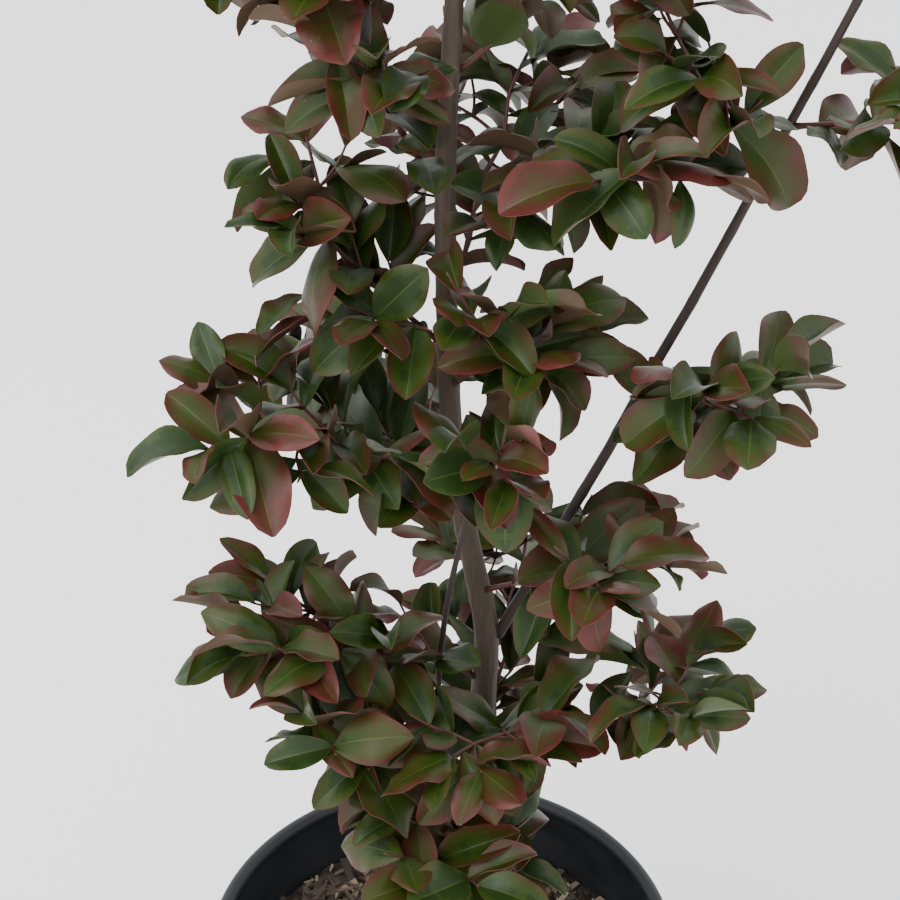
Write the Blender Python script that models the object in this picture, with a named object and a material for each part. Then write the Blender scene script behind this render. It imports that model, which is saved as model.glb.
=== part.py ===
# A potted crape myrtle in its late season leaves, in a round nursery pot.
# A leaning trunk flares at its foot, a second stem forks from it, a slender stem rises beside it,
# and sprays of leafy twigs stand on all three. Every spray grows by one seeded rule.
# Lengths are in metres and angles in degrees. The plant is seen from its front by looking along +Y.
# An azimuth turns from +X, the right side, towards +Y, the back, and a rise is measured up from level.
# Heights in the plant's tables are above the pot's rim. The origin is the middle of the pot's underside.

import math
import random

import bmesh
import bpy
from mathutils import Vector
from mathutils.bvhtree import BVHTree

# Pot and soil
POT_HEIGHT = 0.240
RIM_RADIUS = 0.140
FOOT_RADIUS = 0.104
RIM_BEAD = 0.0045
POT_WALL = 0.0022
POT_FLOOR = 0.003
COLLAR_HEIGHT = 0.026
COLLAR_STEP = 0.004
POT_SEGMENTS = 30
DRAIN_HOLES = 6
DRAIN_RADIUS = 0.006
DRAIN_CIRCLE = 0.082
SOIL_DEPTH = 0.042
SOIL_FLAT = 0.040
SOIL_SWELL = 0.004

# Trunk and slender stem: height above the rim, x, y and radius at each bend
TRUNK_BENDS = [
    (-SOIL_DEPTH, 0.0180, 0.000, 0.0125),
    (-0.028, 0.0182, 0.000, 0.0088),
    (0.070, 0.0195, 0.000, 0.0075),
    (0.190, 0.0235, 0.000, 0.0070),
    (0.240, 0.0240, 0.000, 0.0066),
    (0.305, 0.0130, 0.000, 0.0057),
    (0.370, 0.0055, 0.000, 0.0055),
    (0.500, 0.0028, 0.002, 0.0051),
    (0.600, 0.0072, 0.004, 0.0043),
    (0.780, 0.0160, 0.006, 0.0033),
    (0.960, 0.0120, 0.000, 0.0020),
]
SLENDER_BENDS = [
    (-SOIL_DEPTH, 0.0020, -0.012, 0.0024),
    (0.100, -0.0020, -0.018, 0.0020),
    (0.200, -0.0020, -0.021, 0.0018),
    (0.270, 0.0030, -0.028, 0.0016),
    (0.345, 0.0140, -0.043, 0.0014),
]
TRUNK_SIDES = 10
BOUGH_SIDES = 8
BOUGH_STEP = 0.045

# Boughs: name, host, height, azimuth, rise, length, turn in rise, first and last radius
BOUGHS = [
    ("second_stem", "trunk", 0.232, -4, 66, 0.640, 4, 0.0031, 0.0015),
    ("low_right_bough", "trunk", 0.130, -36, 54, 0.082, -14, 0.0022, 0.0017),
]

# Sprays: name, host, height or None at the host's tip, azimuth, rise, length, turn in rise, side twigs
SPRAYS = [
    ("low_front_spray", "trunk", 0.095, 256, 50, 0.140, -40, 2),
    ("low_left_spray", "slender_stem", 0.105, 226, 62, 0.175, -12, 2),
    ("low_side_spray", "trunk", 0.205, 208, 42, 0.150, -34, 2),
    ("foot_spray", "trunk", 0.160, 284, 56, 0.105, -34, 2),
    ("low_right_spray", "low_right_bough", None, -20, 40, 0.090, -8, 2),
    ("slender_spray", "slender_stem", None, 300, 66, 0.090, -24, 2),
    ("right_spray", "trunk", 0.265, -42, 40, 0.125, -14, 2),
    ("far_left_spray", "trunk", 0.330, 216, 46, 0.165, -34, 2),
    ("left_spray", "trunk", 0.418, 186, 42, 0.105, 14, 2),
    ("upper_left_spray", "trunk", 0.505, 203, 58, 0.180, 8, 2),
    ("centre_spray", "trunk", 0.395, 302, 46, 0.095, -16, 2),
    ("inner_spray", "trunk", 0.478, -24, 36, 0.125, -14, 2),
    ("upper_right_spray", "trunk", 0.560, 12, 46, 0.125, -12, 2),
    ("second_low_spray", "second_stem", 0.385, -56, 32, 0.100, -14, 2),
    ("second_inner_spray", "second_stem", 0.525, 205, 48, 0.085, -8, 2),
    ("second_outer_spray", "second_stem", 0.540, -34, 16, 0.110, 8, 2),
    ("second_tip_spray", "second_stem", None, -6, 68, 0.140, -10, 2),
    ("rear_left_spray", "trunk", 0.330, 128, 14, 0.150, -20, 2),
    ("rear_spray", "trunk", 0.440, 72, 40, 0.150, -16, 3),
    ("low_rear_spray", "trunk", 0.120, 78, 44, 0.165, -26, 3),
    ("crown_left_spray", "trunk", 0.715, 188, 50, 0.165, -6, 2),
    ("crown_right_spray", "trunk", 0.775, -18, 50, 0.160, -6, 2),
    ("crown_rear_spray", "trunk", 0.655, 98, 46, 0.165, -8, 3),
    ("crown_tip_spray", "trunk", None, 250, 78, 0.150, 0, 3),
]

# The growing rule of a spray
SEED = 7
NODE_STEP = 0.030
SIDE_STEP = 0.025
SIDE_NODES = (2, 2)
STEM_RADII = (0.0016, 0.0010)
SIDE_RADII = (0.0011, 0.0008)
ZIGZAG = 7
SIDE_SPREAD = (42, 62)
SIDE_LIFT = (-16, 34)
LEAF_SPREAD = (48, 84)
TIP_SPREAD = (8, 34)
LEAF_LIFT = (-40, 52)
LEAF_LENGTH = (0.042, 0.060)
LEAF_ASPECT = (0.44, 0.62)
LEAF_ARCH = (14, 66)
LEAF_ROLL = 0.42
LEAF_FOLD = 14
LEAF_THICKNESS = 0.0012
LEAF_SINK = 0.0005
TIP_SINK = 0.0025
WIDEST = 0.54
BASE_SIZE = 0.66
TIP_SIZE = 0.78
TRIES = 5
MARGIN = 0.0012
GAP = 0.0003
FACES_PER_LEAF = 12

UP = Vector((0, 0, 1))

# Finishes: colour, roughness
BARK = ((0.155, 0.120, 0.092), 0.85)
DARK_BARK = ((0.050, 0.032, 0.027), 0.75)
FOLIAGE = ((0.065, 0.080, 0.022), 0.50)
PLASTIC = ((0.018, 0.020, 0.024), 0.42)
MULCH = ((0.060, 0.040, 0.026), 0.95)


def clear_scene():
    for item in list(bpy.data.objects):
        bpy.data.objects.remove(item, do_unlink=True)


def dress(item, finish):
    """Gives an object its own Principled material."""
    colour, roughness = finish
    material = bpy.data.materials.new(item.name + "_finish")
    material.use_nodes = True
    shader = material.node_tree.nodes["Principled BSDF"]
    shader.inputs["Base Color"].default_value = (*colour, 1)
    shader.inputs["Roughness"].default_value = roughness
    shader.inputs["Metallic"].default_value = 0
    item.data.materials.clear()
    item.data.materials.append(material)


def add_object(name, points, faces, collection=None):
    """Makes an object of a mesh whose faces all point out."""
    mesh = bpy.data.meshes.new(name)
    mesh.from_pydata(points, [], faces)
    shaped = bmesh.new()
    shaped.from_mesh(mesh)
    bmesh.ops.recalc_face_normals(shaped, faces=shaped.faces)
    shaped.to_mesh(mesh)
    shaped.free()
    item = bpy.data.objects.new(name, mesh)
    (collection or bpy.context.scene.collection).objects.link(item)
    return item


def smooth(item, angle):
    item.data.shade_smooth()
    item.data.set_sharp_from_angle(angle=math.radians(angle))


def turned(profile, segments):
    """Points and faces of a profile of (radius, height) turned round Z, closed at its two ends on the axis."""
    points = []
    faces = []
    for radius, height in profile:
        for k in range(segments):
            turn = math.tau * k / segments
            points.append(Vector((radius * math.cos(turn), radius * math.sin(turn), height)))
    for ring in range(len(profile) - 1):
        for k in range(segments):
            a = ring * segments + k
            b = ring * segments + (k + 1) % segments
            faces.append((a, b, b + segments, a + segments))
    for ring in (0, len(profile) - 1):
        points.append(Vector((0, 0, profile[ring][1])))
        for k in range(segments):
            a = ring * segments + k
            b = ring * segments + (k + 1) % segments
            faces.append((a, b, len(points) - 1))
    return points, faces


def arc(centre, radius, first, last, count):
    """Points of (radius, height) on an arc, from one angle to another."""
    turns = [math.radians(first + (last - first) * k / (count - 1)) for k in range(count)]
    return [(centre[0] + radius * math.cos(t), centre[1] + radius * math.sin(t)) for t in turns]


def wall_radius(height):
    """Outer radius of the pot's tapering body at a height."""
    top = POT_HEIGHT - COLLAR_HEIGHT
    body_top = RIM_RADIUS - 2 * RIM_BEAD - COLLAR_STEP / 2
    return FOOT_RADIUS + (body_top - FOOT_RADIUS) * height / top


def build_pot():
    """A tapering pot with a stepped collar, a rolled rim and drainage holes round its floor."""
    collar = POT_HEIGHT - COLLAR_HEIGHT
    bead = (RIM_RADIUS - RIM_BEAD, POT_HEIGHT - RIM_BEAD)
    body = wall_radius(collar)
    collar_out = RIM_RADIUS - 1.2 * RIM_BEAD
    outer = [
        (FOOT_RADIUS * 0.5, 0),
        (FOOT_RADIUS - 0.004, 0),
        (FOOT_RADIUS, 0.004),
        (body, collar - 0.002),
        (collar_out - 0.001, collar + 0.001),
        (collar_out, POT_HEIGHT - 2 * RIM_BEAD),
    ]
    rim = arc(bead, RIM_BEAD, -50, 210, 8)
    inner = [
        (collar_out - POT_WALL, POT_HEIGHT - 2.2 * RIM_BEAD),
        (collar_out - POT_WALL - 0.001, collar + 0.003),
        (body - POT_WALL, collar),
        (FOOT_RADIUS - POT_WALL + 0.001, 0.010),
        (FOOT_RADIUS - 0.008, POT_FLOOR),
        (FOOT_RADIUS * 0.5, POT_FLOOR),
    ]
    pot = add_object("pot", *turned(outer + rim + inner, POT_SEGMENTS))
    holes = bpy.data.collections.new("drain_holes")
    bpy.context.scene.collection.children.link(holes)
    for k in range(DRAIN_HOLES):
        turn = math.tau * (k + 0.5) / DRAIN_HOLES
        centre = Vector((DRAIN_CIRCLE * math.cos(turn), DRAIN_CIRCLE * math.sin(turn), -0.01))
        path = [centre, centre + UP * 0.03]
        add_object(f"drain_hole_{k}", *tube(path, [DRAIN_RADIUS] * 2, 12), holes)
    combine(pot, holes, "DIFFERENCE")
    smooth(pot, 30)
    dress(pot, PLASTIC)
    return pot


def build_soil():
    """The filled pot's soil: level where the stems stand, and gently uneven towards the wall."""
    rng = random.Random(f"{SEED} soil")
    top = POT_HEIGHT - SOIL_DEPTH
    inside = POT_WALL + GAP
    profile = [
        (SOIL_FLAT, POT_FLOOR + GAP),
        (FOOT_RADIUS - 0.009, POT_FLOOR + GAP),
        (FOOT_RADIUS - inside, 0.0108),
        (wall_radius(top * 0.5) - inside - 0.0004, top * 0.5),
        (wall_radius(top) - inside - 0.0004, top - 0.002),
        (wall_radius(top) - inside - 0.012, top + 0.001),
        (0.085, top),
        (0.060, top),
        (SOIL_FLAT, top),
    ]
    points, faces = turned(profile, POT_SEGMENTS)
    uneven = [i for i, (radius, height) in enumerate(profile) if radius > SOIL_FLAT and height >= top]
    for ring in uneven:
        for k in range(POT_SEGMENTS):
            points[ring * POT_SEGMENTS + k].z += rng.uniform(-1, 1) * SOIL_SWELL
    soil = add_object("soil", points, faces)
    dress(soil, MULCH)
    return soil


def frames(path):
    """Unit headings at a path's points, and side vectors that turn with it without twisting."""
    headings = []
    for i in range(len(path)):
        before = path[max(i - 1, 0)]
        after = path[min(i + 1, len(path) - 1)]
        headings.append((after - before).normalized())
    start = UP if abs(headings[0].z) < 0.9 else Vector((1, 0, 0))
    side = headings[0].cross(start).normalized()
    sides = [side]
    for heading in headings[1:]:
        side = (side - heading * side.dot(heading)).normalized()
        sides.append(side)
    return headings, sides


def tube(path, radii, count, cut=None):
    """Points and faces of a closed tube. Its first ring can lie in a plane whose normal is given."""
    headings, sides = frames(path)
    points = []
    faces = []
    for i, (centre, radius, heading, side) in enumerate(zip(path, radii, headings, sides)):
        other = heading.cross(side)
        for k in range(count):
            turn = math.tau * k / count
            point = centre + (side * math.cos(turn) + other * math.sin(turn)) * radius
            if i == 0 and cut is not None:
                point += heading * ((centre - point).dot(cut) / heading.dot(cut))
            points.append(point)
    for ring in range(len(path) - 1):
        for k in range(count):
            a = ring * count + k
            b = ring * count + (k + 1) % count
            faces.append((a, b, b + count, a + count))
    faces.append(tuple(range(count)))
    faces.append(tuple(range((len(path) - 1) * count, len(path) * count)))
    return points, faces


def combine(base, collection, operation, least_faces=0):
    """Applies one Boolean of a collection to the base object, and removes the collection's objects.
    The manifold solver takes over where the exact one loses part of the shape."""
    modifier = base.modifiers.new("join", "BOOLEAN")
    modifier.operation = operation
    modifier.operand_type = "COLLECTION"
    modifier.collection = collection
    for solver in ("EXACT", "MANIFOLD"):
        modifier.solver = solver
        bpy.context.view_layer.update()
        graph = bpy.context.evaluated_depsgraph_get()
        joined = bpy.data.meshes.new_from_object(base.evaluated_get(graph))
        if len(joined.polygons) >= least_faces:
            break
    base.modifiers.clear()
    base.data = joined
    joined.name = base.name
    for item in list(collection.objects):
        bpy.data.objects.remove(item, do_unlink=True)
    bpy.data.collections.remove(collection)


def keep_largest_body(item):
    """Triangulates a mesh and drops every scrap or sealed hollow beside its largest body."""
    shaped = bmesh.new()
    shaped.from_mesh(item.data)
    bmesh.ops.triangulate(shaped, faces=shaped.faces)
    left = set(shaped.verts)
    bodies = []
    while left:
        body = {left.pop()}
        edge = list(body)
        while edge:
            near = {e.other_vert(v) for v in edge for e in v.link_edges} - body
            body |= near
            edge = list(near)
        left -= body
        bodies.append(body)
    bodies.sort(key=len)
    for body in bodies[:-1]:
        bmesh.ops.delete(shaped, geom=list(body), context="VERTS")
    shaped.to_mesh(item.data)
    shaped.free()
    return len(bodies) - 1


def curve_through(rows, steps):
    """Centres and radii on a smooth curve through rows of (height above the rim, x, y, radius)."""
    knots = [Vector((x, y, POT_HEIGHT + height, radius)) for height, x, y, radius in rows]
    knots = [knots[0] * 2 - knots[1]] + knots + [knots[-1] * 2 - knots[-2]]
    centres = []
    radii = []
    for a, b, c, d in zip(knots, knots[1:], knots[2:], knots[3:]):
        for k in range(steps):
            t = k / steps
            spot = (b * 2 + (c - a) * t + (a * 2 - b * 5 + c * 4 - d) * t**2 + (b * 3 - a - c * 3 + d) * t**3) / 2
            centres.append(spot.to_3d())
            radii.append(spot.w)
    centres.append(knots[-2].to_3d())
    radii.append(knots[-2].w)
    return centres, radii


def heading_of(azimuth, rise):
    """Unit vector with an azimuth and a rise."""
    level = math.cos(math.radians(rise))
    turn = math.radians(azimuth)
    return Vector((level * math.cos(turn), level * math.sin(turn), math.sin(math.radians(rise))))


def limb_path(start, azimuth, rise, length, bend, step, zigzag, rng):
    """Points a step apart along a limb whose rise turns evenly by the bend, with a zigzag at each."""
    count = max(2, round(length / step))
    path = [start]
    for k in range(count):
        swing = zigzag * (1 if k % 2 else -1) + rng.uniform(-zigzag, zigzag) * 0.6
        pitch = rise + bend * (k + 0.5) / count + rng.uniform(-zigzag, zigzag) * 0.5
        path.append(path[-1] + heading_of(azimuth + swing, pitch) * (length / count))
    return path


def make_limb(name, path, radii, count, finish, cut=None):
    """Builds a bough or stem, and keeps what the limbs on it need."""
    item = add_object(name, *tube(path, radii, count, cut))
    smooth(item, 50)
    dress(item, finish)
    return {"item": item, "path": path, "radii": radii, "tree": tree_of([item])}


def tree_of(items):
    """A search tree of the objects' faces, as they lie in space."""
    points = []
    faces = []
    for item in items:
        first = len(points)
        points += [v.co.copy() for v in item.data.vertices]
        faces += [[first + i for i in face.vertices] for face in item.data.polygons]
    return BVHTree.FromPolygons(points, faces)


def seat_on(host, height, azimuth):
    """Where a limb stands on its host: a gap off its surface, and the surface's normal there."""
    if height is None:
        normal = (host["path"][-1] - host["path"][-2]).normalized()
        return host["path"][-1] + normal * GAP, normal
    level = POT_HEIGHT + height
    pairs = list(zip(host["path"], host["path"][1:]))
    low, high = next((a, b) for a, b in pairs if b.z >= level)
    middle = low.lerp(high, (level - low.z) / (high.z - low.z))
    axis = (high - low).normalized()
    out = heading_of(azimuth, 0)
    normal = (out - axis * out.dot(axis)).normalized()
    hit = host["tree"].ray_cast(middle + normal * 0.05, -normal)
    return hit[0] + normal * GAP, normal


def leaf_frame(twig, node, side, tip, size, rng):
    """One leaf of a node: its root, direction, upper normal, length, width and arch."""
    path, headings, sides = twig
    spread = math.radians(rng.uniform(*(TIP_SPREAD if tip else LEAF_SPREAD)))
    lift = math.radians(rng.uniform(*LEAF_LIFT) * (0.5 if tip else 1))
    heading = headings[node]
    flat = heading * math.cos(spread) + sides[node] * side * math.sin(spread)
    along = (flat * math.cos(lift) + UP * math.sin(lift)).normalized()
    stray = Vector([rng.uniform(-1, 1) for _ in range(3)]) * LEAF_ROLL
    face = UP + heading * 0.55 + stray
    normal = (face - along * face.dot(along)).normalized()
    length = rng.uniform(*LEAF_LENGTH) * size
    width = length * rng.uniform(*LEAF_ASPECT)
    arch = math.radians(rng.uniform(*LEAF_ARCH))
    root = path[node] - heading * (TIP_SINK if tip else 0) - along * LEAF_SINK
    return root, along, normal, length, width, arch


def leaf_spot(leaf, t, across, lift):
    """A point of a leaf: t of the way along its arched midrib, across it, and off its face."""
    root, along, normal, length, width, arch = leaf
    run = math.sin(arch * t) / arch * length
    drop = (1 - math.cos(arch * t)) / arch * length
    face = normal * math.cos(arch * t) + along * math.sin(arch * t)
    fold = math.radians(LEAF_FOLD)
    lateral = along.cross(normal)
    half = across * width / 2
    middle = root + along * run - normal * drop
    return middle + lateral * half * math.cos(fold) + face * (abs(half) * math.sin(fold) + lift)


def leaf_solid(leaf, grow=0.0):
    """A leaf of eight faces, or a fatter one to test its clearance with."""
    root, along, normal, length, width, arch = leaf
    leaf = (root - along * grow, along, normal, length + 2 * grow, width + 2 * grow, arch)
    thick = LEAF_THICKNESS / 2 + grow
    points = [
        leaf_spot(leaf, 0, 0, 0),
        leaf_spot(leaf, WIDEST, 1, 0),
        leaf_spot(leaf, 1, 0, 0),
        leaf_spot(leaf, WIDEST, -1, 0),
        leaf_spot(leaf, WIDEST, 0, thick),
        leaf_spot(leaf, WIDEST, 0, -thick),
    ]
    faces = [(i, (i + 1) % 4, 4) for i in range(4)] + [((i + 1) % 4, i, 5) for i in range(4)]
    return points, faces


class Space:
    """What already stands in the plant, so that a new twig or leaf keeps clear of it."""

    def __init__(self):
        self.kept = []

    def add(self, owner, points, faces):
        centre = sum(points, Vector()) / len(points)
        reach = max((p - centre).length for p in points)
        self.kept.append((owner, centre, reach, BVHTree.FromPolygons(points, faces)))

    def add_item(self, item):
        points = [v.co.copy() for v in item.data.vertices]
        self.add(item.name, points, [list(face.vertices) for face in item.data.polygons])

    def meets(self, points, faces, skip=()):
        centre = sum(points, Vector()) / len(points)
        reach = max((p - centre).length for p in points)
        shape = BVHTree.FromPolygons(points, faces)
        for owner, other, size, tree in self.kept:
            if owner in skip or (other - centre).length > reach + size:
                continue
            if shape.overlap(tree):
                return True
        return False


def add_twig(path, radii, cut=None):
    headings, sides = frames(path)
    return {"path": path, "radii": radii, "cut": cut, "frame": (path, headings, sides)}


def taper(radii, count):
    return [radii[0] + (radii[1] - radii[0]) * k / (count - 1) for k in range(count)]


def grow_stem(spray, limbs):
    """The stem that the rest of a spray branches from."""
    name, host, height, azimuth, rise, length, bend, _ = spray
    rng = random.Random(f"{SEED} {name} stem")
    start, normal = seat_on(limbs[host], height, azimuth)
    path = limb_path(start, azimuth, rise, length, bend, NODE_STEP, ZIGZAG, rng)
    return add_twig(path, taper(STEM_RADII, len(path)), normal)


def grow_side_twigs(spray, stem, stems, space):
    """Side twigs from the stem's outer nodes, to its left and right in turn."""
    name, wanted = spray[0], spray[7]
    path, headings, sides = stem["frame"]
    twigs = []
    for k in range(wanted):
        rng = random.Random(f"{SEED} {name} side {k}")
        node = 1 + round((len(path) - 3) * (k + 0.5) / wanted)
        side = 1 if k % 2 else -1
        for _ in range(TRIES):
            spread = math.radians(rng.uniform(*SIDE_SPREAD))
            lift = math.radians(rng.uniform(*SIDE_LIFT))
            flat = headings[node] * math.cos(spread) + sides[node] * side * math.sin(spread)
            out = (flat * math.cos(lift) + UP * math.sin(lift)).normalized()
            azimuth = math.degrees(math.atan2(out.y, out.x))
            length = SIDE_STEP * rng.randint(*SIDE_NODES)
            rise = math.degrees(math.asin(out.z))
            side_path = limb_path(path[node], azimuth, rise, length, 10, SIDE_STEP, ZIGZAG, rng)
            twig = add_twig(side_path, taper(SIDE_RADII, len(side_path)))
            shape = tube(side_path, [r + MARGIN for r in twig["radii"]], 3)
            nearest = min(stems, key=lambda other: distance_to(stems[other]["path"], side_path[-1]))
            if nearest == name and not space.meets(*shape, skip=(name,)):
                space.add(name, *tube(side_path, twig["radii"], 3))
                twigs.append((node, side, twig))
                break
    return twigs


def distance_to(path, point):
    """Distance from a point to the nearest of a path's points."""
    return min((point - spot).length for spot in path)


def grow_leaves(spray, stem, twigs, space):
    """Pairs of leaves at the nodes of a spray's twigs. One that would touch anything is turned, or skipped."""
    name = spray[0]
    leaves = []
    taken = {(node, side) for node, side, _ in twigs}
    shoots = [stem] + [twig for _, _, twig in twigs]
    for shoot_number, shoot in enumerate(shoots):
        last = len(shoot["path"]) - 1
        for node in range(1, last + 1):
            for side in (-1, 1):
                if shoot_number == 0 and (node, side) in taken:
                    continue
                rng = random.Random(f"{SEED} {name} leaf {shoot_number} {node} {side}")
                size = BASE_SIZE if node == 1 else TIP_SIZE if node == last else 1
                for _ in range(TRIES):
                    leaf = leaf_frame(shoot["frame"], node, side, node == last, size, rng)
                    if clear_of_all(name, leaf, leaves, space):
                        leaves.append(leaf)
                        break
    for leaf in leaves:
        space.add(name, *leaf_solid(leaf))
    return leaves


def clear_of_all(name, leaf, leaves, space):
    """True where a leaf meets neither other sprays and limbs nor, past its root, its own spray."""
    if space.meets(*leaf_solid(leaf, MARGIN), skip=(name,)):
        return False
    root, along, normal, length, width, arch = leaf
    outer = (leaf_spot(leaf, 0.2, 0, 0), along, normal, length * 0.8, width, arch)
    points, faces = leaf_solid(outer)
    own = Space()
    for other in leaves:
        own.add("leaf", *leaf_solid(other))
    return not own.meets(points, faces)


def build_spray(spray, stem, twigs, leaves):
    """Joins a spray's stem, side twigs and leaves into one solid."""
    name = spray[0]
    parts = bpy.data.collections.new(name + "_parts")
    bpy.context.scene.collection.children.link(parts)
    base = add_object(name, *tube(stem["path"], stem["radii"], 3, stem["cut"]))
    for k, (_, _, twig) in enumerate(twigs):
        add_object(f"{name}_twig_{k}", *tube(twig["path"], twig["radii"], 3), parts)
    for k, leaf in enumerate(leaves):
        add_object(f"{name}_leaf_{k}", *leaf_solid(leaf), parts)
    combine(base, parts, "UNION", FACES_PER_LEAF * len(leaves))
    dropped = keep_largest_body(base)
    dress(base, FOLIAGE)
    return base, dropped


def main():
    clear_scene()
    space = Space()
    for item in (build_pot(), build_soil()):
        space.add_item(item)

    limbs = {}
    for name, rows, count, finish in (
        ("trunk", TRUNK_BENDS, TRUNK_SIDES, BARK),
        ("slender_stem", SLENDER_BENDS, BOUGH_SIDES, DARK_BARK),
    ):
        path, radii = curve_through(rows, 2)
        path[0] += UP * GAP
        limbs[name] = make_limb(name, path, radii, count, finish, UP)
    for name, host, height, azimuth, rise, length, bend, first, last in BOUGHS:
        rng = random.Random(f"{SEED} {name}")
        start, normal = seat_on(limbs[host], height, azimuth)
        path = limb_path(start, azimuth, rise, length, bend, BOUGH_STEP, 2, rng)
        limbs[name] = make_limb(name, path, taper((first, last), len(path)), BOUGH_SIDES, DARK_BARK, normal)
    for limb in limbs.values():
        space.add_item(limb["item"])

    stems = {spray[0]: grow_stem(spray, limbs) for spray in SPRAYS}
    for name, stem in stems.items():
        shape = tube(stem["path"], stem["radii"], 3, stem["cut"])
        if space.meets(*shape):
            print("stem meets something:", name)
        space.add(name, *shape)
    sides = {spray[0]: grow_side_twigs(spray, stems[spray[0]], stems, space) for spray in SPRAYS}
    leaf_count = 0
    for spray in SPRAYS:
        name = spray[0]
        leaves = grow_leaves(spray, stems[name], sides[name], space)
        item, dropped = build_spray(spray, stems[name], sides[name], leaves)
        leaf_count += len(leaves)
        print(name, "side twigs", len(sides[name]), "leaves", len(leaves), "faces", len(item.data.polygons),
              "scraps", dropped)
    print("leaves in all:", leaf_count)


main()
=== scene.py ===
# %% [markdown]
# # A potted crape myrtle
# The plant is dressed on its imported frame. The frame gives the pot, the soil, the trunk and the stems their
# places, so everything below either grows from those solids or replaces one of them.

# %% Load the frame
import math
import random

import bpy
import numpy as np
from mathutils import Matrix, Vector
from mathutils.bvhtree import BVHTree


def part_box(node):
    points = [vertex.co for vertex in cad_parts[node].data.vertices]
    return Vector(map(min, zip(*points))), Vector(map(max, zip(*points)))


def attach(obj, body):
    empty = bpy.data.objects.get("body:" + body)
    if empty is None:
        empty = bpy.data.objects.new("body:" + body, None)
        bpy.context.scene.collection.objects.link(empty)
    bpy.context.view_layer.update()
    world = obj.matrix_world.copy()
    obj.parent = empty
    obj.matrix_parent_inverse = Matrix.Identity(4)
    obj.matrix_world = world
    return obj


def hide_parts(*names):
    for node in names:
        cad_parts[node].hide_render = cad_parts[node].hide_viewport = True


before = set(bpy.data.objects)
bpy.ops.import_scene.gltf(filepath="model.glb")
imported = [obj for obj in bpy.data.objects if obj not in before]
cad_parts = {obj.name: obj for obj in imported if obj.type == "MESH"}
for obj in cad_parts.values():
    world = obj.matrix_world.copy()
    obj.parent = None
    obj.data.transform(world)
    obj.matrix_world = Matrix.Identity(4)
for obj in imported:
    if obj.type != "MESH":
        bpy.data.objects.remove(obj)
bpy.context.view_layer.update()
print("frame nodes:", len(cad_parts))

# %% [markdown]
# ## Camera, floor and light
# The view is that of someone standing close and looking down on the plant. A long lens keeps the leaves'
# proportions. The light is a pale sky with one broad lamp, because soft light keeps the leaves' dull sheen.

# %% Camera, floor and light
RIM_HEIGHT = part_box("pot")[1].z
CAMERA_AT = Vector((0.005, -0.933, RIM_HEIGHT + 0.979))
CAMERA_PITCH = 33.9
LENS = 88
FLOOR_SIDE = 12.0
FLOOR_DROP = 0.0005
LAMP_SIDE = 2.5
LAMP_POWER = 95
SKY_STRENGTH = 2.0

camera = bpy.data.objects.new("camera", bpy.data.cameras.new("camera"))
bpy.context.scene.collection.objects.link(camera)
camera.location = CAMERA_AT
camera.rotation_euler = (math.radians(90 - CAMERA_PITCH), 0, 0)
camera.data.lens = LENS
camera.data.sensor_width = 36
bpy.context.scene.camera = camera

lamp = bpy.data.objects.new("broad_lamp", bpy.data.lights.new("broad_lamp", "AREA"))
bpy.context.scene.collection.objects.link(lamp)
lamp.data.size = LAMP_SIDE
lamp.data.energy = LAMP_POWER
lamp.location = (-1.2, -1.4, 2.9)
lamp.rotation_euler = (Vector((0, 0, 0.6)) - lamp.location).to_track_quat("-Z", "Y").to_euler()

sky = bpy.data.worlds.new("sky")
bpy.context.scene.world = sky
sky.use_nodes = True
sky.node_tree.nodes["Background"].inputs["Color"].default_value = (1, 1, 1, 1)
sky.node_tree.nodes["Background"].inputs["Strength"].default_value = SKY_STRENGTH


def add_mesh(name, points, faces, smooth=True):
    """Makes an object of points and faces."""
    mesh = bpy.data.meshes.new(name)
    mesh.from_pydata([tuple(p) for p in points], [], faces)
    if smooth:
        mesh.shade_smooth()
    item = bpy.data.objects.new(name, mesh)
    bpy.context.scene.collection.objects.link(item)
    return item


half = FLOOR_SIDE / 2
corners = [(-half, -half, 0), (half, -half, 0), (half, half, 0), (-half, half, 0)]
floor = add_mesh("floor", corners, [(0, 1, 2, 3)])
floor.location.z = -FLOOR_DROP
print("camera", CAMERA_AT, "pitch", CAMERA_PITCH)

# %% [markdown]
# ## Shader maths as expressions
# A finish is easier to read as a sum than as a chain of nodes. Signal wraps a socket, and its operators add
# the Math nodes. Finish makes one material and any other node that it needs.


# %% Signals and finishes
class Signal:
    """A shader value that can be added, subtracted and multiplied."""

    def __init__(self, finish, socket):
        self.finish = finish
        self.socket = socket

    def _math(self, operation, first, second):
        return self.finish.node("ShaderNodeMath", {"operation": operation}, {0: first, 1: second})

    def __add__(self, other):
        return self._math("ADD", self, other)

    __radd__ = __add__

    def __mul__(self, other):
        return self._math("MULTIPLY", self, other)

    __rmul__ = __mul__

    def __sub__(self, other):
        return self._math("SUBTRACT", self, other)

    def __rsub__(self, other):
        return self._math("SUBTRACT", other, self)


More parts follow.
